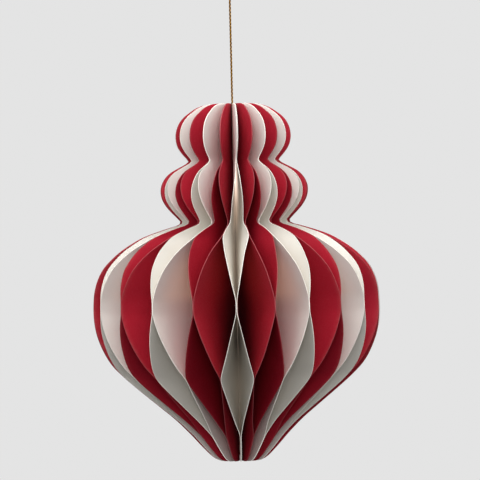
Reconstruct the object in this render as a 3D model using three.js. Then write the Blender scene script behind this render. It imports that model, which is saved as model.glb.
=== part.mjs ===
// Accordion paper lantern: forty-four half-profile card leaves fanned round a
// slim spine tube, hung on one twisted cord that ends in a knot and a loop.
// Units are millimetres, +Z is up. The origin is the point inside the top of
// the hanging loop where a hook bears, so the lantern hangs along -Z.
// The closing seam, where the first and the last leaf meet, faces -Y.
import * as THREE from "three";

// ---- driving dimensions ---------------------------------------------------
const LANTERN_HEIGHT = 300; // top edge to bottom edge of a leaf
const CARD = 0.35; // card thickness of one leaf
const LEAF_COUNT = 44; // 22 red and 22 off-white, in same-colour pairs
const FOLD_RING_R = 3.6; // ring on which the fold lines between leaves stand
const LEAF_INNER_R = 3.9; // inner edge of a leaf, from the spine axis
const LEAF_LEAN = 4.0909; // degrees from a glue seam to the middle of its leaf

const CORD_D = 1.5; // twisted metallic cord
const CORD_SIDES = 8;
const LOOP_HEIGHT = 38; // hook point down to the top of the knot
const LOOP_HALF_WIDTH = 7;
const KNOT_D = 5.4;
const KNOT_HEIGHT = 8;
const HANGING_RUN = 96; // cord between the knot and the lantern's top
const GAP = 0.3; // clearance between pieces that meet

const TUBE_OUTER_R = 2.9;
const TUBE_BORE_R = 1.5;
const TUBE_TOP_INSET = 2; // tube ends this far below the leaves' top
const TUBE_BOTTOM_INSET = 9;
const STOPPER_D = 4.6;
const STOPPER_HEIGHT = 5.4;

const DOT_R = 5; // adhesive closure dots
const DOT_THICKNESS = 0.15;
const DOT_CLEARANCE = 0.03;
const SEAM_SHIFT = 0.06; // the first leaf stands off the seam to let the dots in

// Directions of the same-colour seams, in degrees from -Y towards +X. A seam
// lies between the two leaves of one pair; the other seams bisect these.
const FRONT_SEAMS = [-0.1, 14.8, 28.8, 44.2, 59.7, 77.5];
const LEFT_SEAMS = [276.3, 291.4, 308.7, 325.8, 343.2, 359.9];

// Outer edge of one leaf, from the top down: [radius, height above the bottom].
const EDGE = [
  [13, 300], [21.4, 299.6], [27.8, 298.1], [32.8, 295.8], [36.9, 293.0],
  [41.5, 289.5], [45.2, 285.3], [47.9, 279.6], [49.0, 272.5], [47.7, 265.4],
  [45.4, 261.2], [42.1, 257.0], [39.4, 254.0], [38.4, 252.1], [40.4, 250.3],
  [44.2, 248.2], [49.3, 245.6], [54.2, 242.7], [58.1, 238.9], [60.9, 234.3],
  [62.3, 228.6], [61.2, 221.0], [57.2, 214.0], [52.8, 209.0], [48.3, 204.4],
  [45.8, 201.2], [47.6, 199.2], [55.6, 196.8], [65.3, 193.8], [78.8, 188.8],
  [88.1, 183.7], [97.1, 177.8], [104.9, 171.1], [111.9, 163.5], [116.5, 155.1],
  [119.7, 144.9], [120.9, 134.0], [120.8, 122.0], [118.6, 108.5], [113.4, 94.4],
  [106.3, 82.0], [95.9, 70.8], [84.4, 60.7], [68.1, 47.2], [54.1, 35.4],
  [42.3, 23.6], [31.7, 11.8], [23.1, 3.4], [17.7, 0.4], [13, 0],
];

// Closure dots: [distance from the axis, height above the bottom].
const DOTS = {
  closure_dot_top: [40, 272],
  closure_dot_middle: [112, 131],
  closure_dot_bottom: [24, 13],
};

// ---- materials -------------------------------------------------------------
const mat = (name, color, roughness, metalness) => {
  const m = new THREE.MeshStandardMaterial({ color, roughness, metalness });
  m.name = name;
  return m;
};
const redCard = mat("paper_red", 0xa5283a, 0.75, 0);
const whiteCard = mat("paper_white", 0xe6e0d2, 0.8, 0);
const gold = mat("cord_gold", 0x8d7642, 0.45, 0.6);
const tubeCard = mat("tube_card", 0xe2dccb, 0.85, 0);
const adhesive = mat("adhesive", 0xe9e7df, 0.35, 0);

// ---- helpers ---------------------------------------------------------------
const rad = THREE.MathUtils.degToRad;

function named(geometry, material, name) {
  const mesh = new THREE.Mesh(geometry, material);
  mesh.name = name;
  return mesh;
}

// A closed solid of revolution about Z from [radius, z] points, on or off the axis.
function turned(points, segments) {
  const g = new THREE.LatheGeometry(
    points.map(([r, z]) => new THREE.Vector2(r, z)),
    segments,
  );
  g.rotateX(Math.PI / 2);
  return g;
}

// A round-ended barrel about Z, such as a tied knot.
function barrel(diameter, height, neck) {
  const points = [[0, -height / 2]];
  for (let i = 0; i <= 8; i++) {
    const a = rad(-90 + (180 * i) / 8);
    const r = neck + (diameter / 2 - neck) * Math.cos(a);
    points.push([r, (height / 2) * Math.sin(a)]);
  }
  points.push([0, height / 2]);
  return turned(points, 14);
}

// A round cord along a curve.
function cord(curve, steps) {
  const section = new THREE.Shape();
  section.absarc(0, 0, CORD_D / 2, 0, 2 * Math.PI, false);
  const round = new THREE.Shape(section.getSpacedPoints(CORD_SIDES).slice(0, CORD_SIDES));
  return new THREE.ExtrudeGeometry(round, {
    steps,
    extrudePath: curve,
    bevelEnabled: false,
  });
}

// ---- the lantern's own group: z = 0 at the bottom edge of the leaves --------
const group = new THREE.Group();
group.name = "accordion_paper_lantern";

const knotTop = -LOOP_HEIGHT;
const knotBottom = knotTop - KNOT_HEIGHT;
const lanternTop = knotBottom - HANGING_RUN;
const lantern = new THREE.Group();
lantern.position.z = lanternTop - LANTERN_HEIGHT;
group.add(lantern);

// Seam directions: even seams lie inside a same-colour pair, odd ones between pairs.
const backStep = (LEFT_SEAMS[0] - FRONT_SEAMS.at(-1)) / 12;
const pairSeams = [...FRONT_SEAMS];
for (let i = 1; i < 12; i++) pairSeams.push(FRONT_SEAMS.at(-1) + i * backStep);
pairSeams.push(...LEFT_SEAMS);
const seam = [];
for (let i = 0; i < pairSeams.length; i++) {
  seam.push(pairSeams[i]);
  if (i + 1 < pairSeams.length) seam.push((pairSeams[i] + pairSeams[i + 1]) / 2);
}

// ---- leaves ----------------------------------------------------------------
const outline = new THREE.Shape(
  [[LEAF_INNER_R, LANTERN_HEIGHT], ...EDGE, [LEAF_INNER_R, 0]].map(
    ([r, z]) => new THREE.Vector2(r, z),
  ),
);

// A flat card leaf, standing in the XZ plane with its inner edge towards the axis.
function leafGeometry(offset) {
  const g = new THREE.ExtrudeGeometry(outline, {
    depth: CARD,
    bevelEnabled: false,
    curveSegments: 1,
  });
  g.translate(0, 0, -CARD / 2); // thickness centred on the leaf's own plane
  g.rotateX(Math.PI / 2); // profile height becomes +Z
  g.translate(0, offset, 0);
  return g;
}

for (let k = 0; k < LEAF_COUNT; k++) {
  const white = Math.floor((k + 1) / 2) % 2 === 0;
  const name = `leaf_${white ? "white" : "red"}_${String(k).padStart(2, "0")}`;
  const leaf = named(
    leafGeometry(k === 0 ? SEAM_SHIFT : 0),
    white ? whiteCard : redCard,
    name,
  );
  leaf.rotation.z = rad(seam[k] + LEAF_LEAN - 90);
  lantern.add(leaf);
}

// ---- closure dots, on the first leaf's outer face ----------------------------
const firstLeaf = new THREE.Group();
firstLeaf.rotation.z = rad(seam[0] + LEAF_LEAN - 90);
lantern.add(firstLeaf);
for (const [name, [r, z]] of Object.entries(DOTS)) {
  const dot = named(
    new THREE.CylinderGeometry(DOT_R, DOT_R, DOT_THICKNESS, 20),
    adhesive,
    name,
  );
  dot.position.set(
    r,
    SEAM_SHIFT - CARD / 2 - DOT_CLEARANCE - DOT_THICKNESS / 2,
    z,
  );
  firstLeaf.add(dot);
}

// ---- spine tube, the cord through it, and its stopper knot -------------------
const tubeTop = LANTERN_HEIGHT - TUBE_TOP_INSET;
const tube = named(
  turned(
    [
      [TUBE_BORE_R, TUBE_BOTTOM_INSET],
      [TUBE_OUTER_R, TUBE_BOTTOM_INSET],
      [TUBE_OUTER_R, tubeTop],
      [TUBE_BORE_R, tubeTop],
      [TUBE_BORE_R, TUBE_BOTTOM_INSET],
    ],
    16,
  ),
  tubeCard,
  "spine_tube",
);
lantern.add(tube);

const stopper = named(barrel(STOPPER_D, STOPPER_HEIGHT, 0.9), gold, "stopper_knot");
const stopperTop = TUBE_BOTTOM_INSET - GAP;
stopper.position.z = stopperTop - STOPPER_HEIGHT / 2;
lantern.add(stopper);

const innerTop = tubeTop - GAP;
const inner = named(
  cord(
    new THREE.LineCurve3(
      new THREE.Vector3(0, 0, stopperTop + GAP),
      new THREE.Vector3(0, 0, innerTop),
    ),
    1,
  ),
  gold,
  "cord_in_spine",
);
lantern.add(inner);

// ---- hanging run, knot and loop -----------------------------------------------
const runBottom = lantern.position.z + tubeTop;
group.add(
  named(
    cord(
      new THREE.LineCurve3(
        new THREE.Vector3(0, 0, runBottom),
        new THREE.Vector3(0, 0, knotBottom - GAP),
      ),
      4,
    ),
    gold,
    "hanging_cord",
  ),
);

const knot = named(barrel(KNOT_D, KNOT_HEIGHT, 1.1), gold, "loop_knot");
knot.position.z = (knotTop + knotBottom) / 2;
group.add(knot);

// The loop leaves the knot's top as two legs side by side and opens into a teardrop.
const top = CORD_D / 2; // centreline, with the hook point under it
const base = knotTop + GAP;
const span = top - base;
const side = (x, t) => [
  new THREE.Vector3(x * 0.95, 0, base),
  new THREE.Vector3(x * 1.2, 0, base + 0.1 * span),
  new THREE.Vector3(x * LOOP_HALF_WIDTH * 0.52, 0, base + 0.34 * span),
  new THREE.Vector3(x * LOOP_HALF_WIDTH * 0.93, 0, base + 0.62 * span),
  new THREE.Vector3(x * LOOP_HALF_WIDTH * 0.92, 0, base + 0.8 * span),
  new THREE.Vector3(x * LOOP_HALF_WIDTH * 0.6, 0, base + 0.945 * span),
];
group.add(
  named(
    cord(
      new THREE.CatmullRomCurve3(
        [...side(1), new THREE.Vector3(0, 0, top), ...side(-1).reverse()],
        false,
        "centripetal",
      ),
      26,
    ),
    gold,
    "hanging_loop",
  ),
);

export default group;
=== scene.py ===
import math

import bpy
import numpy as np
from mathutils import Matrix, Vector


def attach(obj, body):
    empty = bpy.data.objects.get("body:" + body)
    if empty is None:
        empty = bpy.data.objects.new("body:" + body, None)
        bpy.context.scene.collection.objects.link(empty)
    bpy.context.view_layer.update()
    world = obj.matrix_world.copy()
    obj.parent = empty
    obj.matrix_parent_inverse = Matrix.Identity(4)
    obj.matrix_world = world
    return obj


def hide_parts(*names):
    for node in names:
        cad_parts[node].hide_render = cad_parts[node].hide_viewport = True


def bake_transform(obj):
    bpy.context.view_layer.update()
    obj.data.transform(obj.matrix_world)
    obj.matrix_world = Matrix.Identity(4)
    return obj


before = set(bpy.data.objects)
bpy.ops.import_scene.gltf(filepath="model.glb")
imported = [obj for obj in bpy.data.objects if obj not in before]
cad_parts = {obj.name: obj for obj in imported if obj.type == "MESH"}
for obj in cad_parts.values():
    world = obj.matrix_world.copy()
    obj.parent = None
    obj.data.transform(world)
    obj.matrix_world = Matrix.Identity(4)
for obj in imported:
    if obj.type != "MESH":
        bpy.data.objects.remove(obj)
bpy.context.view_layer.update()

scene = bpy.context.scene
MM = 0.001

WORLD_UP = 0.20
LIGHTS = [
    ("overhead_soft", (0.0, -0.15, 1.15), 1.3, 12.6),
    ("front_top_soft", (0.0, -1.0, 0.85), 1.1, 7.2),
    ("right_top_soft", (0.9, -0.8, 0.75), 1.0, 3.8),
    ("left_top_soft", (-0.9, -0.8, 0.75), 1.0, 5.0),
    ("front_soft", (0.0, -2.6, 0.05), 0.9, 8.8),
    ("back_soft", (0.0, 1.6, 0.9), 1.2, 9.0),
]

# ---------------------------------------------------------------------------
# Sizes in millimetres, the same as in the CAD source
# ---------------------------------------------------------------------------
HEIGHT = 300.0
LEAVES = 44
FOLD_RING_R = 3.6
LEAF_INNER_R = 3.9
CARD = 0.36
GLUE = 0.02  # half the glue film between two leaves
SEAM_SHIFT = 0.09  # room for the closing dots at the front seam
TOP_Z = -142.0
BOTTOM_Z = TOP_Z - HEIGHT
CORD_D = 1.5
HOOK_TOP = CORD_D / 2
KNOT_TOP, KNOT_BOTTOM = -38.0, -46.0
TUBE_OUTER_R, TUBE_BORE_R = 2.9, 1.5
TUBE_TOP, TUBE_BOTTOM = TOP_Z - 2.0, BOTTOM_Z + 9.0

FRONT_SEAMS = [-0.1, 14.8, 28.8, 44.2, 59.7, 77.5]
LEFT_SEAMS = [276.3, 291.4, 308.7, 325.8, 343.2, 359.9]
EDGE = [
    (13, 300), (21.4, 299.6), (27.8, 298.1), (32.8, 295.8), (36.9, 293.0),
    (41.5, 289.5), (45.2, 285.3), (47.9, 279.6), (49.0, 272.5), (47.7, 265.4),
    (45.4, 261.2), (42.1, 257.0), (39.4, 254.0), (38.4, 252.1), (40.4, 250.3),
    (44.2, 248.2), (49.3, 245.6), (54.2, 242.7), (58.1, 238.9), (60.9, 234.3),
    (62.3, 228.6), (61.2, 221.0), (57.2, 214.0), (52.8, 209.0), (48.3, 204.4),
    (45.8, 201.2), (47.6, 199.2), (55.6, 196.8), (65.3, 193.8), (78.8, 188.8),
    (88.1, 183.7), (97.1, 177.8), (104.9, 171.1), (111.9, 163.5), (116.5, 155.1),
    (119.7, 144.9), (120.9, 134.0), (120.8, 122.0), (118.6, 108.5), (113.4, 94.4),
    (106.3, 82.0), (95.9, 70.8), (84.4, 60.7), (68.1, 47.2), (54.1, 35.4),
    (42.3, 23.6), (31.7, 11.8), (23.1, 3.4), (17.7, 0.4), (13, 0),
]
DOTS = {
    "closure_dot_top": (40.0, 272.0),
    "closure_dot_middle": (112.0, 131.0),
    "closure_dot_bottom": (24.0, 13.0),
}
DOT_R, DOT_T = 5.0, 0.15

# ---------------------------------------------------------------------------
# Camera
# ---------------------------------------------------------------------------
camera_data = bpy.data.cameras.new("camera")
camera_data.sensor_width = 36.0
camera_data.lens = 195.8
camera_data.shift_x = -0.0018
camera_data.clip_start, camera_data.clip_end = 0.05, 60.0
camera = bpy.data.objects.new("camera", camera_data)
scene.collection.objects.link(camera)
camera.matrix_world = (
    Matrix.Translation((0.00455, -2.2, -0.2566))
    @ Matrix.Rotation(math.radians(90), 4, "X")
    @ Matrix.Rotation(math.radians(-1.36), 4, "Z")
)
scene.camera = camera


# ---------------------------------------------------------------------------
# Mesh helpers
# ---------------------------------------------------------------------------
def mesh_object(name, verts, faces, materials, face_material=None, smooth=True):
    data = bpy.data.meshes.new(name)
    data.from_pydata([tuple(v) for v in np.asarray(verts, float)], [], [tuple(int(i) for i in f) for f in faces])
    data.update()
    for m in materials:
        data.materials.append(m)
    if face_material is not None:
        data.polygons.foreach_set("material_index", np.asarray(face_material, np.int32))
    data.polygons.foreach_set("use_smooth", np.full(len(data.polygons), bool(smooth)))
    obj = bpy.data.objects.new(name, data)
    scene.collection.objects.link(obj)
    return obj


def vector_attribute(obj, name, values):
    a = obj.data.attributes.new(name, "FLOAT_VECTOR", "POINT")
    a.data.foreach_set("vector", np.asarray(values, np.float32).ravel())


def float_attribute(obj, name, values):
    a = obj.data.attributes.new(name, "FLOAT", "POINT")
    a.data.foreach_set("value", np.asarray(values, np.float32).ravel())


def sharpen(obj, pairs):
    """Marks the edges between these vertex pairs as sharp."""
    wanted = {(min(a, b), max(a, b)) for a, b in pairs}
    ends = np.zeros(len(obj.data.edges) * 2, np.int32)
    obj.data.edges.foreach_get("vertices", ends)
    flags = [(min(a, b), max(a, b)) in wanted for a, b in ends.reshape(-1, 2)]
    obj.data.edges.foreach_set("use_edge_sharp", np.array(flags, bool))


def smooth_curve(points, samples):
    """A centripetal spline through points, evenly sampled along its length."""
    p = np.asarray(points, float)
    p = np.vstack([2 * p[0] - p[1], p, 2 * p[-1] - p[-2]])
    out = []
    for i in range(1, len(p) - 2):
        p0, p1, p2, p3 = p[i - 1 : i + 3]
        t0 = 0.0
        t1 = t0 + max(np.linalg.norm(p1 - p0) ** 0.5, 1e-6)
        t2 = t1 + max(np.linalg.norm(p2 - p1) ** 0.5, 1e-6)
        t3 = t2 + max(np.linalg.norm(p3 - p2) ** 0.5, 1e-6)
        for t in np.linspace(t1, t2, 24, endpoint=False):
            a1 = (t1 - t) / (t1 - t0) * p0 + (t - t0) / (t1 - t0) * p1
            a2 = (t2 - t) / (t2 - t1) * p1 + (t - t1) / (t2 - t1) * p2
            a3 = (t3 - t) / (t3 - t2) * p2 + (t - t2) / (t3 - t2) * p3
            b1 = (t2 - t) / (t2 - t0) * a1 + (t - t0) / (t2 - t0) * a2
            b2 = (t3 - t) / (t3 - t1) * a2 + (t - t1) / (t3 - t1) * a3
            out.append((t2 - t) / (t2 - t1) * b1 + (t - t1) / (t2 - t1) * b2)
    out.append(p[-2])
    out = np.array(out)
    run = np.concatenate([[0], np.cumsum(np.linalg.norm(np.diff(out, axis=0), axis=1))])
    at = np.linspace(0, run[-1], samples)
    return np.stack([np.interp(at, run, out[:, i]) for i in range(out.shape[1])], axis=1)


# ---------------------------------------------------------------------------
# Materials
# ---------------------------------------------------------------------------
class Nodes:
    """A short way to write a node tree."""

    def __init__(self, name):
        self.material = bpy.data.materials.new(name)
        self.material.use_nodes = True
        self.tree = self.material.node_tree
        self.tree.nodes.clear()
        self.out = self.tree.nodes.new("ShaderNodeOutputMaterial")
        self.shader = self.tree.nodes.new("ShaderNodeBsdfPrincipled")
        self.link(self.shader.outputs[0], self.out.inputs["Surface"])

    def new(self, kind, **settings):
        n = self.tree.nodes.new(kind)
        for k, v in settings.items():
            setattr(n, k, v)
        return n

    def link(self, a, b):
        self.tree.links.new(a, b)

    def attribute(self, name, output="Vector"):
        return self.new("ShaderNodeAttribute", attribute_name=name).outputs[output]

    def scaled(self, vector, factors, offset=(0, 0, 0)):
        n = self.new("ShaderNodeMapping")
        n.inputs["Scale"].default_value = factors
        n.inputs["Location"].default_value = offset
        self.link(vector, n.inputs["Vector"])
        return n.outputs[0]

    def noise(self, vector, scale, detail=3.0, rough=0.5):
        n = self.new("ShaderNodeTexNoise")
        n.inputs["Scale"].default_value = scale
        n.inputs["Detail"].default_value = detail
        n.inputs["Roughness"].default_value = rough
        self.link(vector, n.inputs["Vector"])
        return n.outputs["Fac"]

    def ramp(self, factor, stops):
        n = self.new("ShaderNodeValToRGB")
        while len(n.color_ramp.elements) < len(stops):
            n.color_ramp.elements.new(0.5)
        for e, (at, colour) in zip(n.color_ramp.elements, stops):
            e.position = at
            e.color = (*colour, 1.0) if hasattr(colour, "__len__") else (colour, colour, colour, 1.0)
        self.link(factor, n.inputs["Fac"])
        return n.outputs["Color"]

    def mix(self, factor, a, b, blend="MIX"):
        n = self.new("ShaderNodeMix", data_type="RGBA", blend_type=blend)
        for socket, value in (("Factor", factor), ("A", a), ("B", b)):
            i = {"Factor": 0, "A": 6, "B": 7}[socket]
            if hasattr(value, "is_output"):
                self.link(value, n.inputs[i])
            elif i == 0:
                n.inputs[i].default_value = value
            else:
                n.inputs[i].default_value = (*value, 1.0)
        return n.outputs[2]

    def maths(self, operation, a, b=None, clamp=False):
        n = self.new("ShaderNodeMath", operation=operation, use_clamp=clamp)
        for i, value in enumerate((a, b)):
            if value is None:
                continue
            if hasattr(value, "is_output"):
                self.link(value, n.inputs[i])
            else:
                n.inputs[i].default_value = value
        return n.outputs[0]

    def bump(self, height, strength, distance, normal=None):
        n = self.new("ShaderNodeBump")
        n.inputs["Strength"].default_value = strength
        n.inputs["Distance"].default_value = distance
        self.link(height, n.inputs["Height"])
        if normal is not None:
            self.link(normal, n.inputs["Normal"])
        return n.outputs[0]


def card_material(name, low, mid, high, fleck, rim_colour, specular, spine_shade=None):
    """Matt card: cloudy colour, short fibres, a faint tooth and worn rims, with optional painted shade towards the
    spine and a painted glow (emission) from a per-point colour.
    """
    m = Nodes(name)
    flat = m.attribute("card_flat")
    cloud = m.noise(flat, 26.0, 4.0, 0.55)
    colour = m.ramp(cloud, [(0.28, low), (0.5, mid), (0.74, high)])
    broad = m.noise(flat, 9.0, 2.0, 0.5)
    colour = m.mix(m.ramp(broad, [(0.40, 0.0), (0.62, 0.45)]), colour, low)
    fibre = m.noise(m.scaled(flat, (1.0, 0.16, 1.0)), 2600.0, 2.0, 0.6)
    colour = m.mix(m.ramp(fibre, [(0.56, 0.0), (0.74, 0.5)]), colour, fleck)
    cross = m.noise(m.scaled(flat, (0.2, 1.0, 1.0), (0.3, 0.1, 0.0)), 1900.0, 2.0, 0.6)
    colour = m.mix(m.ramp(cross, [(0.60, 0.0), (0.78, 0.35)]), colour, low)
    # painted shade: the colour is multiplied darker towards the spine by a per-point amount
    if spine_shade:
        colour = m.mix(m.attribute("card_spine_shade", "Fac"), colour, spine_shade, "MULTIPLY")
    rim = m.attribute("card_rim", "Fac")
    scuff = m.noise(flat, 240.0, 4.0, 0.7)
    wear = m.maths("MULTIPLY", m.ramp(rim, [(0.0, 1.0), (0.5, 0.25), (1.0, 0.0)]), m.ramp(scuff, [(0.35, 0.25), (0.65, 1.0)]))
    colour = m.mix(m.maths("MULTIPLY", wear, 0.28), colour, rim_colour)
    m.link(colour, m.shader.inputs["Base Color"])
    m.link(m.ramp(m.noise(flat, 700.0, 3.0, 0.6), [(0.3, 0.60), (0.7, 0.80)]), m.shader.inputs["Roughness"])
    m.shader.inputs["Specular IOR Level"].default_value = specular
    tooth = m.noise(flat, 1500.0, 3.0, 0.65)
    wave = m.noise(flat, 30.0, 2.0, 0.5)
    n1 = m.bump(wave, 0.5, 0.0006)
    # painted light: an emission colour for each point, read from an attribute, brightens the deep folds and the bulb of
    # the white card
    m.link(m.attribute("card_painted_glow", "Color"), m.shader.inputs["Emission Color"])
    m.shader.inputs["Emission Strength"].default_value = 1.0
    m.link(m.bump(tooth, 0.30, 0.00006, n1), m.shader.inputs["Normal"])
    return m.material


def edge_material(name, colour, darker, glow=0.0):
    """The cut edge of the card: its paler core, with a laminate's fine lines."""
    m = Nodes(name)
    flat = m.attribute("card_flat")
    grain = m.noise(m.scaled(flat, (1.0, 1.0, 6.0)), 900.0, 3.0, 0.6)
    m.link(m.ramp(grain, [(0.3, darker), (0.7, colour)]), m.shader.inputs["Base Color"])
    m.link(m.ramp(grain, [(0.3, 0.7), (0.7, 0.9)]), m.shader.inputs["Roughness"])
    m.shader.inputs["Specular IOR Level"].default_value = 0.2
    m.link(m.bump(grain, 0.4, 0.00005), m.shader.inputs["Normal"])
    # painted light: the cut edge glows faintly in its own colour
    if glow:
        m.shader.inputs["Emission Color"].default_value = (*colour, 1.0)
        m.shader.inputs["Emission Strength"].default_value = glow
    return m.material


# the last colour of the red card is the painted shade multiplied in towards the spine
RED = card_material(
    "red_card", (0.400, 0.0085, 0.0245), (0.462, 0.0110, 0.0300), (0.525, 0.0145, 0.0360),
    (0.520, 0.035, 0.055), (0.62, 0.20, 0.20), 0.20, (0.40, 0.45, 0.42),
)
RED_EDGE = edge_material("red_card_cut", (0.56, 0.15, 0.16), (0.42, 0.06, 0.075))
WHITE = card_material(
    "white_card", (0.865, 0.825, 0.755), (0.890, 0.855, 0.790), (0.910, 0.880, 0.820),
    (0.93, 0.91, 0.87), (0.93, 0.91, 0.86), 0.20,
)
# the white cut edge gets a painted glow
WHITE_EDGE = edge_material("white_card_cut", (0.95, 0.91, 0.85), (0.90, 0.84, 0.76), 0.42)


def cord_material():
    m = Nodes("gold_cord")
    lay = m.attribute("yarn")
    valley_shade = m.attribute("valley_shade", "Fac")
    fine = m.noise(m.scaled(lay, (700.0, 9000.0, 1.0)), 1.0, 2.0, 0.5)
    cloud = m.noise(m.scaled(lay, (300.0, 900.0, 1.0)), 1.0, 3.0, 0.6)
    gold = m.ramp(cloud, [(0.30, (0.42, 0.175, 0.010)), (0.52, (0.68, 0.315, 0.022)), (0.72, (0.96, 0.60, 0.09))])
    gold = m.mix(m.ramp(fine, [(0.46, 0.0), (0.62, 0.6)]), gold, (0.20, 0.088, 0.012))
    # painted shade: the valleys between the strands are darkened nearly to black
    gold = m.mix(m.ramp(valley_shade, [(0.10, 0.0), (0.56, 0.97)]), gold, (0.022, 0.009, 0.002))
    m.link(gold, m.shader.inputs["Base Color"])
    m.shader.inputs["Metallic"].default_value = 0.72
    m.shader.inputs["Specular IOR Level"].default_value = 0.15
    m.link(m.ramp(fine, [(0.3, 0.34), (0.7, 0.55)]), m.shader.inputs["Roughness"])
    m.link(m.bump(fine, 0.7, 0.00012), m.shader.inputs["Normal"])
    return m.material


def tube_material():
    m = Nodes("wound_tube")
    flat = m.attribute("card_flat")
    cloud = m.noise(flat, 60.0, 4.0, 0.6)
    colour = m.ramp(cloud, [(0.3, (0.66, 0.60, 0.50)), (0.7, (0.77, 0.72, 0.62))])
    fibre = m.noise(m.scaled(flat, (1.0, 0.2, 1.0)), 2200.0, 3.0, 0.6)
    colour = m.mix(m.ramp(fibre, [(0.5, 0.0), (0.75, 0.5)]), colour, (0.50, 0.43, 0.34))
    m.link(colour, m.shader.inputs["Base Color"])
    m.link(m.ramp(fibre, [(0.3, 0.7), (0.7, 0.9)]), m.shader.inputs["Roughness"])
    m.link(m.bump(fibre, 0.4, 0.00008), m.shader.inputs["Normal"])
    return m.material


def dot_material():
    m = Nodes("adhesive_dot")
    flat = m.attribute("card_flat")
    cloud = m.noise(flat, 500.0, 4.0, 0.6)
    m.link(m.ramp(cloud, [(0.3, (0.70, 0.69, 0.62)), (0.7, (0.80, 0.79, 0.73))]), m.shader.inputs["Base Color"])
    m.link(m.ramp(cloud, [(0.3, 0.25), (0.7, 0.45)]), m.shader.inputs["Roughness"])
    m.link(m.bump(cloud, 0.3, 0.00005), m.shader.inputs["Normal"])
    return m.material


GOLD = cord_material()
TUBE = tube_material()
ADHESIVE = dot_material()


# ---------------------------------------------------------------------------
# The twisted cord: three strands laid round each other
# ---------------------------------------------------------------------------
LAY_PITCH = 9.8  # mm for one full turn of a strand


def twisted_cord(name, path_mm, diameter=CORD_D * 1.16, ring=24, turn0=0.0, step=0.28):
    p = np.asarray(path_mm, float)
    run = np.concatenate([[0], np.cumsum(np.linalg.norm(np.diff(p, axis=0), axis=1))])
    n = max(int(run[-1] / step), 12)
    at = np.linspace(0, run[-1], n + 1)
    c = np.stack([np.interp(at, run, p[:, i]) for i in range(3)], axis=1)
    tangent = np.gradient(c, axis=0)
    tangent /= np.linalg.norm(tangent, axis=1)[:, None]
    side = np.cross(tangent[0], [0.0, 1.0, 0.0])
    if np.linalg.norm(side) < 0.2:
        side = np.cross(tangent[0], [1.0, 0.0, 0.0])
    sides = []
    for t in tangent:
        side = side - (side @ t) * t
        side = side / np.linalg.norm(side)
        sides.append(side)
    sides = np.array(sides)
    other = np.cross(tangent, sides)
    rs, d = 0.464 * diameter / 2, 0.536 * diameter / 2
    angles = np.arange(ring) / ring * 2 * math.pi
    verts, yarn, valley_shade = [], [], []
    for i in range(n + 1):
        turn = turn0 + 2 * math.pi * at[i] / LAY_PITCH
        local = (angles + math.pi / 3) % (2 * math.pi / 3) - math.pi / 3
        r = d * np.cos(local) + np.sqrt(np.maximum(rs**2 - (d * np.sin(local)) ** 2, 0))
        r = np.maximum(r, 0.50 * diameter / 2)
        a = angles + turn
        verts.append(c[i] + r[:, None] * (np.cos(a)[:, None] * sides[i] + np.sin(a)[:, None] * other[i]))
        # fibres run round each strand at a steep lay
        yarn.append(np.stack([np.full(ring, at[i]) - 1.6 * local, local * rs + 0.9 * at[i], np.floor((angles + math.pi / 3) / (2 * math.pi / 3)) * 7.0], axis=1))
        # how deep each point lies between the strands, for the painted shade in the valleys
        valley_shade.append(1 - (r / (diameter / 2) - 0.5) / 0.5)
    verts = np.concatenate(verts) * MM
    faces = []
    for i in range(n):
        for j in range(ring):
            k = (j + 1) % ring
            faces.append((i * ring + j, i * ring + k, (i + 1) * ring + k, (i + 1) * ring + j))
    verts = np.vstack([verts, c[0] * MM, c[-1] * MM])
    first, last = len(verts) - 2, len(verts) - 1
    for j in range(ring):
        k = (j + 1) % ring
        faces.append((first, k, j))
        faces.append((last, n * ring + j, n * ring + k))
    obj = mesh_object(name, verts, faces, [GOLD])
    vector_attribute(obj, "yarn", np.vstack([np.concatenate(yarn), [[0, 0, 0], [at[-1], 0, 0]]]) * MM)
    float_attribute(obj, "valley_shade", np.concatenate([np.concatenate(valley_shade), [0.4, 0.4]]))
    return obj, c * MM


def line(a, b, n=60):
    return np.linspace(np.array(a, float), np.array(b, float), n)


run_obj, run_path = twisted_cord("cord_run", line((0, 0, TUBE_TOP), (0, 0, KNOT_BOTTOM + 1.2)), turn0=0.4)

# the loop, a teardrop whose two legs go into the knot side by side
base, top = KNOT_TOP - 1.0, HOOK_TOP
span = top - (KNOT_TOP + 0.3)
half = [
    (0.80, base), (0.95, KNOT_TOP + 0.3), (1.2, KNOT_TOP + 0.3 + 0.10 * span), (7 * 0.52, KNOT_TOP + 0.3 + 0.34 * span),
    (7 * 0.93, KNOT_TOP + 0.3 + 0.62 * span), (7 * 0.92, KNOT_TOP + 0.3 + 0.80 * span), (7 * 0.60, KNOT_TOP + 0.3 + 0.945 * span),
]
loop_points = [(x, 0.0, z) for x, z in half] + [(0.0, 0.0, top)] + [(-x, 0.0, z) for x, z in reversed(half)]
loop_obj, loop_path = twisted_cord("cord_loop", smooth_curve(loop_points, 400), turn0=1.1)


def knot_path(z_low, z_high, radius, turns, tilt, low_tail, high_tail):
    """Wraps of a tied knot: in from below, round the standing part, out above."""
    n = int(60 * turns)
    t = np.linspace(0, 1, n)
    a = 2 * math.pi * turns * t + 0.6
    r = radius * (1 + 0.05 * np.sin(2 * a + 0.5))
    z = z_low + (z_high - z_low) * t + tilt * np.sin(a + 0.9) * np.minimum(1, 4 * t) * np.minimum(1, 4 * (1 - t))
    wraps = np.stack([r * np.cos(a), r * np.sin(a), z], axis=1)
    pts = [np.array(p, float) for p in low_tail] + list(wraps[::6]) + [np.array(p, float) for p in high_tail]
    return smooth_curve(pts, int(110 * turns))


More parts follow.
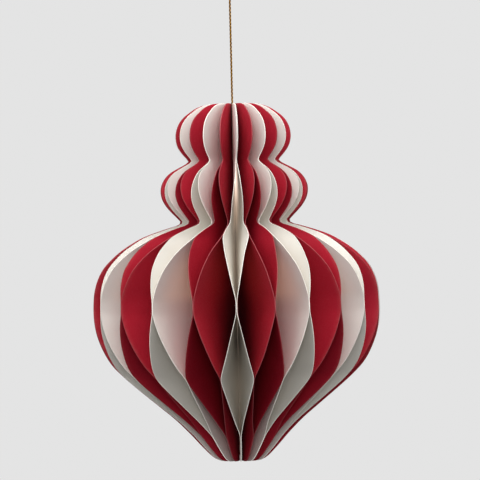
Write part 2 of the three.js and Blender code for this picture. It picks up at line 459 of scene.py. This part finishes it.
knot_obj, _ = twisted_cord(
    "knot_under_loop",
    knot_path(-44.3, -39.9, 1.86, 3.3, 0.42, [(0.1, 0.1, -46.0), (0.55, 0.35, -45.3)], [(0.5, -0.3, -39.0), (0.1, 0.0, -38.2)]),
    diameter=CORD_D, ring=18, step=0.3,
)
stopper_obj, _ = twisted_cord(
    "knot_under_spine",
    knot_path(-437.5, -434.9, 1.45, 2.3, 0.35, [(0.25, 0.1, -441.3), (0.3, 0.1, -439.6), (0.6, 0.3, -438.4)], [(0.45, -0.2, -434.2), (0.05, 0.0, -433.5)]),
    diameter=CORD_D, ring=18, step=0.3,
)
inner_obj, _ = twisted_cord("cord_inside_spine", line((0, 0, TUBE_TOP - 0.05), (0, 0, TUBE_BOTTOM - 0.4), 200), diameter=1.45, ring=18, step=0.6)

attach(run_obj, "cord")
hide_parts("hanging_cord")
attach(loop_obj, "loop")
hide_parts("hanging_loop")
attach(knot_obj, "loop")
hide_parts("loop_knot")
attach(stopper_obj, "spine")
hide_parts("stopper_knot")
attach(inner_obj, "spine")
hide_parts("cord_in_spine")


# ---------------------------------------------------------------------------
# Leaves
# ---------------------------------------------------------------------------
step_back = (LEFT_SEAMS[0] - FRONT_SEAMS[-1]) / 12
pair_seams = FRONT_SEAMS + [FRONT_SEAMS[-1] + i * step_back for i in range(1, 12)] + LEFT_SEAMS
seam = []
for i, a in enumerate(pair_seams):
    seam.append(a)
    if i + 1 < len(pair_seams):
        seam.append((a + pair_seams[i + 1]) / 2)

outline = smooth_curve(EDGE, 2400)
order = np.argsort(outline[:, 1], kind="stable")
profile_z, profile_r = outline[order, 1], outline[order, 0]


def radius_at(z):
    return np.interp(z, profile_z, profile_r)


# How far a leaf has gone over from its same-colour neighbour (0) to its other
# neighbour (1), at each height above the bottom edge.
def spread_at(z):
    grid = np.linspace(-6, HEIGHT + 6, 3121)
    r = radius_at(np.clip(grid, 0, HEIGHT))
    f = np.zeros_like(grid)

    def height(y):  # heights of the glue spots and of the points between them
        return (460.0 - y) * 0.8427

    knots = [(162, 0), (170, 0.10), (182, 0.25), (190, 0.36), (198, 0.47), (206, 0.58), (214, 0.70), (218, 0.78), (223, 0.90), (227, 1.0)]
    hs = np.array([height(y) for y, _ in knots])[::-1]
    fs = np.array([v for _, v in knots])[::-1]
    a = (grid <= height(162)) & (grid >= height(227))
    f[a] = np.interp(grid[a], hs, fs)
    f[(grid < height(227)) & (grid >= height(236))] = 1.0
    for high, low, up in ((236, 297, False), (310, 372, True), (378, 432, False)):
        zh, zl = height(high), height(low)
        a = (grid < zh) & (grid >= zl)
        share = (zh - grid[a]) / (zh - zl)  # 0 at the upper end
        if up:
            f[a] = share * radius_at(zl) / r[a]
        else:
            f[a] = (1 - share) * radius_at(zh) / r[a]
    f[(grid < height(372)) & (grid >= height(378))] = 1.0
    f = np.clip(f, 0, 1)
    # the card can't bend to a point, so each turn is a small round
    width = 2.2
    dz = grid[1] - grid[0]
    k = np.exp(-0.5 * (np.arange(-60, 61) * dz / width) ** 2)
    k /= k.sum()
    f = np.convolve(np.pad(f, 60, mode="edge"), k, mode="valid")
    return np.interp(z, grid, f)


TWIST = [(104, 5.0), (116, 4.6), (145, 4.2), (160, 3.3), (190, 3.0), (214, 2.8), (222, 2.5), (234, 1.0), (250, 0.0), (420, 0.0), (434, 1.2), (460, 1.5)]


def twist_at(z):
    """The slight twist that all leaves share, in radians."""
    hs = np.array([(460.0 - y) * 0.8427 for y, _ in TWIST])[::-1]
    vs = np.array([v for _, v in TWIST])[::-1]
    grid = np.linspace(0, HEIGHT, 601)
    v = np.interp(grid, hs, vs)
    k = np.exp(-0.5 * (np.arange(-20, 21) * 0.5 / 3.0) ** 2)
    v = np.convolve(np.pad(v, 20, mode="edge"), k / k.sum(), mode="valid")
    return np.radians(np.interp(z, grid, v))


ROWS, COLUMNS = 150, 22
# How soon a leaf goes back to the middle of its own sector on its way inwards:
# high where it bows freely, low where it is drawn straight to the spine.
HOLD = [(104, 2.6), (150, 2.4), (166, 1.6), (182, 0.9), (205, 0.60), (232, 0.45), (268, 0.30), (303, 0.12), (340, 0.24), (372, 0.34), (410, 0.24), (432, 0.12), (460, 0.12)]


def hold_at(z):
    hs = np.array([(460.0 - y) * 0.8427 for y, _ in HOLD])[::-1]
    vs = np.array([v for _, v in HOLD])[::-1]
    return np.interp(z, hs, vs)


def row_heights():
    z, r = outline[:, 1], outline[:, 0]
    measure = np.concatenate([[0], np.cumsum(np.hypot(np.diff(z), 0.5 * np.diff(r)))])
    at = np.linspace(0, measure[-1], ROWS)
    return np.interp(at, measure, z)[::-1]  # rising


row_z = row_heights()
row_r = radius_at(row_z)
row_f = spread_at(row_z)
row_twist = twist_at(row_z)


def gentle_noise(rng, z, length):
    """Smooth noise along the height, about -1 to 1."""
    knots = np.arange(-length, HEIGHT + 2 * length, length)
    values = rng.uniform(-1, 1, len(knots))
    t = np.interp(z, knots, np.arange(len(knots)))
    i = np.clip(t.astype(int), 0, len(knots) - 2)
    u = t - i
    u = u * u * (3 - 2 * u)
    return values[i] * (1 - u) + values[i + 1] * u


def leaf_name(k):
    return "%s_%02d" % ("white" if ((k + 1) // 2) % 2 == 0 else "red", k)


def make_leaf(k):
    white = ((k + 1) // 2) % 2 == 0
    rng = np.random.default_rng(1000 + k)
    delta = math.radians(seam[k + 1] - seam[k])
    s = row_f if k % 2 == 0 else 1 - row_f
    s = s + 0.10 * s * (1 - s) * gentle_noise(rng, row_z, 45.0)
    u = np.linspace(0, 1, COLUMNS) ** 0.85
    # glue holds the card only near its outer edge: further in it goes back to
    # the middle of its own sector
    hold = u[None, :] ** hold_at(row_z)[:, None]
    s = 0.5 + (np.clip(s, 0, 1)[:, None] - 0.5) * hold
    r = LEAF_INNER_R + (row_r[:, None] - LEAF_INNER_R) * u[None, :]
    z = np.repeat(row_z[:, None], COLUMNS, axis=1)
    near = CARD / 2 + GLUE + (SEAM_SHIFT if k == 0 else 0.0)
    far = CARD / 2 + GLUE + (SEAM_SHIFT if k == LEAVES - 1 else 0.0)
    phi = (1 - s) * np.arcsin(near / r) + s * (delta - np.arcsin(far / r))
    # middle surface, in the leaf's own untwisted frame: x outwards along seam k
    mid = np.stack([r * np.cos(phi), r * np.sin(phi), z], axis=2)
    tz = np.gradient(mid, axis=0)
    tr = np.gradient(mid, axis=1)
    normal = np.cross(tz, tr)
    normal /= np.linalg.norm(normal, axis=2)[:, :, None]
    normal *= np.sign((normal * np.stack([-np.sin(phi), np.cos(phi), 0 * phi], axis=2)).sum(axis=2))[:, :, None]
    skins = [mid - normal * CARD / 2, mid + normal * CARD / 2]
    pitch = 2 * FOLD_RING_R * math.sin(delta / 2)
    hinge = (FOLD_RING_R * math.cos(delta / 2), FOLD_RING_R * math.sin(delta / 2))
    angle = math.radians(seam[k]) + row_twist[:, None]
    out, weights, flat, rim, glow_colours = [], [], [], [], []
    u_here = np.repeat(u[None, :], ROWS, axis=0)
    # painted light: one face of each white leaf glows more towards the spine, set by height (lit, tones); the other
    # face gets a warm painted glow round the widest bulb (belly); red leaves get none
    inwards = np.clip((0.62 - u_here) / 0.5, 0, 1) * np.clip(u_here / 0.05, 0, 1)
    heights = [0, 60, 100, 130, 150, 165, 190, 215, 236, 262, 300]
    lit = np.interp(row_z, heights, [0.03, 0.04, 0.0, 0.05, 0.08, 0.10, 0.06, 0.34, 0.95, 0.6, 0.4])[:, None]
    belly = np.interp(row_z, [118, 133, 142, 165, 178, 192], [0.0, 0.25, 1.0, 0.9, 0.4, 0.0])[:, None]
    belly = belly * np.clip((u_here - 0.15) / 0.3, 0, 1) * np.clip((0.97 - u_here) / 0.2, 0, 1)
    if white:
        tones = np.array([np.interp(row_z, [100, 205, 230], c) for c in ((0.40, 0.40, 0.40), (0.32, 0.30, 0.33), (0.25, 0.24, 0.31))]).T
        inside = (inwards * lit)[:, :, None] * tones[:, None, :]
        outside = belly[:, :, None] * np.array([0.125, 0.080, 0.048])
    else:
        inside = outside = np.zeros((ROWS, COLUMNS, 3))
    for sign, p in zip((-1, 1), skins):
        x = p[:, :, 0] * np.sin(angle) + p[:, :, 1] * np.cos(angle)
        y = -p[:, :, 0] * np.cos(angle) + p[:, :, 1] * np.sin(angle)
        out.append(np.stack([x, y, p[:, :, 2] + BOTTOM_Z], axis=2).reshape(-1, 3))
        qx, qy = p[:, :, 0] - hinge[0], p[:, :, 1] - hinge[1]
        q = np.maximum(np.hypot(qx, qy), 1e-6)
        offset = near + s * (pitch - near - far) + sign * CARD / 2
        w = (np.arctan2(qy, qx) - np.arcsin(np.clip((offset - pitch / 2) / q, -1, 1))) / delta
        weights.append(np.clip(w, 0, 1).ravel())
        flat.append(np.stack([r, p[:, :, 2], np.full_like(r, 37.0 * k + 11.0 * (sign + 1))], axis=2).reshape(-1, 3))
        rim.append(np.clip((row_r[:, None] - r) / 0.8, 0, 1).ravel())
        glow_colours.append((inside if (sign > 0) == (k % 2 == 1) else outside).reshape(-1, 3))
    n = ROWS * COLUMNS
    index = np.arange(n).reshape(ROWS, COLUMNS)
    a, b, c, d = index[:-1, :-1].ravel(), index[:-1, 1:].ravel(), index[1:, 1:].ravel(), index[1:, :-1].ravel()
    loop = np.concatenate([index[0, :], index[1:, -1], index[-1, -2::-1], index[-2:0:-1, 0]])
    following = np.roll(loop, -1)
    low_skin = np.stack([a, b, c, d], axis=1)
    high_skin = np.stack([d, c, b, a], axis=1) + n
    strip = np.stack([following, loop, loop + n, following + n], axis=1)
    faces = np.vstack([low_skin, high_skin, strip])
    which = np.concatenate([np.zeros(len(low_skin) + len(high_skin)), np.ones(len(strip))])
    verts = np.vstack(out) * MM
    obj = mesh_object(
        "card_" + leaf_name(k), verts, faces,
        [WHITE, WHITE_EDGE] if white else [RED, RED_EDGE], which,
    )
    sharpen(obj, list(zip(loop, following)) + list(zip(loop + n, following + n)))
    vector_attribute(obj, "card_flat", np.vstack(flat) * MM)
    float_attribute(obj, "card_rim", np.concatenate(rim))
    # painted shade: how far the red card is darkened towards the spine, by height
    spine_shade_part = np.interp(row_z, [100, 128, 145, 165, 240, 262, 280], [1.0, 0.85, 0.45, 0.25, 0.20, 0.65, 0.75])[:, None]
    float_attribute(obj, "card_spine_shade", np.tile((spine_shade_part * np.clip((0.55 - u_here) / 0.35, 0, 1)).ravel(), 2))
    # the painted glow: one emission colour for each point
    vector_attribute(obj, "card_painted_glow", np.vstack(glow_colours))
    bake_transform(obj)
    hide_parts("leaf_" + leaf_name(k))
    return obj


leaf_objects = [make_leaf(k) for k in range(LEAVES)]


# ---------------------------------------------------------------------------
# Closing dots, in the front seam between the last leaf and the first
# ---------------------------------------------------------------------------
for name, (dr, dz) in DOTS.items():
    rings, around = [0.0, 0.45, 0.8, 0.97, 1.0], 48
    turn = math.radians(seam[44] - 360.0) + float(twist_at(dz))
    verts, faces, flat = [], [], []
    for side in (-1, 1):
        for i, rr in enumerate(rings):
            half_t = DOT_T / 2 * (1.0 if i < 3 else (0.85 if i == 3 else 0.45))
            for j in range(around):
                a = 2 * math.pi * j / around
                x, z = dr + DOT_R * rr * math.cos(a), dz + DOT_R * rr * math.sin(a)
                y = side * half_t
                verts.append((x * math.sin(turn) + y * math.cos(turn), -x * math.cos(turn) + y * math.sin(turn), z + BOTTOM_Z))
                flat.append((x, z, side * 5.0))
    count = len(rings) * around
    for s_i, base_i in ((0, 0), (1, count)):
        for i in range(len(rings) - 1):
            for j in range(around):
                k = (j + 1) % around
                q = (base_i + i * around + j, base_i + (i + 1) * around + j, base_i + (i + 1) * around + k, base_i + i * around + k)
                faces.append(q[::-1] if s_i else q)
    for j in range(around):
        k = (j + 1) % around
        o = (len(rings) - 1) * around
        faces.append((o + j, count + o + j, count + o + k, o + k))
    obj = mesh_object("dot_" + name.split("_")[-1], np.array(verts) * MM, faces, [ADHESIVE])
    vector_attribute(obj, "card_flat", np.array(flat) * MM)
    import bmesh

    bm = bmesh.new()
    bm.from_mesh(obj.data)
    bmesh.ops.remove_doubles(bm, verts=bm.verts, dist=1e-6)
    bmesh.ops.recalc_face_normals(bm, faces=bm.faces)
    bm.to_mesh(obj.data)
    bm.free()
    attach(obj, "fold_44")
    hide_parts(name)

# ---------------------------------------------------------------------------
# The spine tube: a spirally wound paper tube with its winding seam
# ---------------------------------------------------------------------------
around, along = 48, 240
tube_z = np.linspace(TUBE_BOTTOM, TUBE_TOP, along + 1)
verts, flat = [], []
for outer in (True, False):
    for z in tube_z:
        for j in range(around):
            a = 2 * math.pi * j / around
            if outer:
                phase = (a / (2 * math.pi) - z / 22.0) % 1.0
                groove = 0.10 * math.exp(-((min(phase, 1 - phase) * 22.0) / 0.5) ** 2)
                end = min(z - TUBE_BOTTOM, TUBE_TOP - z)
                rr = TUBE_OUTER_R - groove - 0.15 * max(0.0, 1 - end / 0.6)
            else:
                rr = TUBE_BORE_R
            verts.append((rr * math.cos(a), rr * math.sin(a), z))
            flat.append((a * rr, z, 0.0 if outer else 50.0))
faces = []
count = (along + 1) * around
for i in range(along):
    for j in range(around):
        k = (j + 1) % around
        faces.append((i * around + j, i * around + k, (i + 1) * around + k, (i + 1) * around + j))
        faces.append((count + i * around + j, count + (i + 1) * around + j, count + (i + 1) * around + k, count + i * around + k))
for j in range(around):
    k = (j + 1) % around
    faces.append((j, count + j, count + k, k))
    t = along * around
    faces.append((t + j, t + k, count + t + k, count + t + j))
tube_obj = mesh_object("tube_spine", np.array(verts) * MM, faces, [TUBE])
vector_attribute(tube_obj, "card_flat", np.array(flat) * MM)
ring_pairs = []
for start in (0, along * around, count, count + along * around):
    ring_pairs += [(start + j, start + (j + 1) % around) for j in range(around)]
sharpen(tube_obj, ring_pairs)
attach(tube_obj, "spine")
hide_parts("spine_tube")

# ---------------------------------------------------------------------------
# Stage: pale floor, soft light
# ---------------------------------------------------------------------------
floor_z = -1.75
n = 96
floor_rings = (0.5, 1.5, 3.5, 8.0)
floor_verts, floor_faces = [(0, 0, floor_z)], []
for rr in floor_rings:
    for j in range(n):
        a = 2 * math.pi * j / n
        floor_verts.append((rr * math.cos(a), rr * math.sin(a), floor_z))
for j in range(n):
    floor_faces.append((0, 1 + j, 1 + (j + 1) % n))
for ring_i in range(len(floor_rings) - 1):
    o = 1 + ring_i * n
    for j in range(n):
        k = (j + 1) % n
        floor_faces.append((o + j, o + n + j, o + n + k, o + k))
m = Nodes("pale_floor")
coords = m.new("ShaderNodeTexCoord").outputs["Object"]
m.link(m.ramp(m.noise(coords, 3.0, 3.0, 0.5), [(0.3, (0.72, 0.72, 0.715)), (0.7, (0.76, 0.76, 0.755))]), m.shader.inputs["Base Color"])
m.link(m.ramp(m.noise(coords, 40.0, 3.0, 0.5), [(0.3, 0.7), (0.7, 0.85)]), m.shader.inputs["Roughness"])
m.shader.inputs["Specular IOR Level"].default_value = 0.1
m.shader.inputs["Emission Color"].default_value = (0.50, 0.50, 0.497, 1.0)
m.shader.inputs["Emission Strength"].default_value = 1.0
floor = mesh_object("floor", floor_verts, floor_faces, [m.material])
floor.visible_diffuse = False
floor.visible_glossy = False

# A pale surround, brightest round the horizon
world = bpy.data.worlds.new("studio")
world.use_nodes = True
wt = world.node_tree
backdrop = wt.nodes["Background"]
direction_node = wt.nodes.new("ShaderNodeTexCoord")
split = wt.nodes.new("ShaderNodeSeparateXYZ")
wt.links.new(direction_node.outputs["Generated"], split.inputs[0])
rescale = wt.nodes.new("ShaderNodeMath")
rescale.operation = "MULTIPLY_ADD"
rescale.inputs[1].default_value = 0.5
rescale.inputs[2].default_value = 0.5
wt.links.new(split.outputs["Z"], rescale.inputs[0])
shade = wt.nodes.new("ShaderNodeValToRGB")
stops = [(0.0, 0.11), (0.42, 0.11), (0.445, 0.775), (0.555, 0.775), (0.59, WORLD_UP), (1.0, WORLD_UP)]
while len(shade.color_ramp.elements) < len(stops):
    shade.color_ramp.elements.new(0.5)
for e, (at, v) in zip(shade.color_ramp.elements, stops):
    e.position = at
    e.color = (v, v, v, 1.0)
wt.links.new(rescale.outputs[0], shade.inputs["Fac"])
wt.links.new(shade.outputs["Color"], backdrop.inputs["Color"])
backdrop.inputs["Strength"].default_value = 1.0
# seen directly, the surround is one even pale grey
even = wt.nodes.new("ShaderNodeBackground")
even.inputs["Color"].default_value = (0.775, 0.775, 0.775, 1.0)
either = wt.nodes.new("ShaderNodeMixShader")
wt.links.new(wt.nodes.new("ShaderNodeLightPath").outputs["Is Camera Ray"], either.inputs["Fac"])
wt.links.new(backdrop.outputs[0], either.inputs[1])
wt.links.new(even.outputs[0], either.inputs[2])
wt.links.new(either.outputs[0], wt.nodes["World Output"].inputs["Surface"])
scene.world = world
scene.view_settings.view_transform = "Standard"


def area_light(name, location, target, size, watts, colour=(1, 1, 1)):
    data = bpy.data.lights.new(name, "AREA")
    data.shape = "SQUARE"
    data.size = size
    data.energy = watts
    data.color = colour
    obj = bpy.data.objects.new(name, data)
    obj.location = location
    direction = Vector(target) - Vector(location)
    obj.rotation_mode = "QUATERNION"
    obj.rotation_quaternion = direction.to_track_quat("-Z", "Y")
    scene.collection.objects.link(obj)
    return obj


centre = (0.0, 0.0, -0.29)
for light in LIGHTS:
    area_light(light[0], light[1], centre, *light[2:])
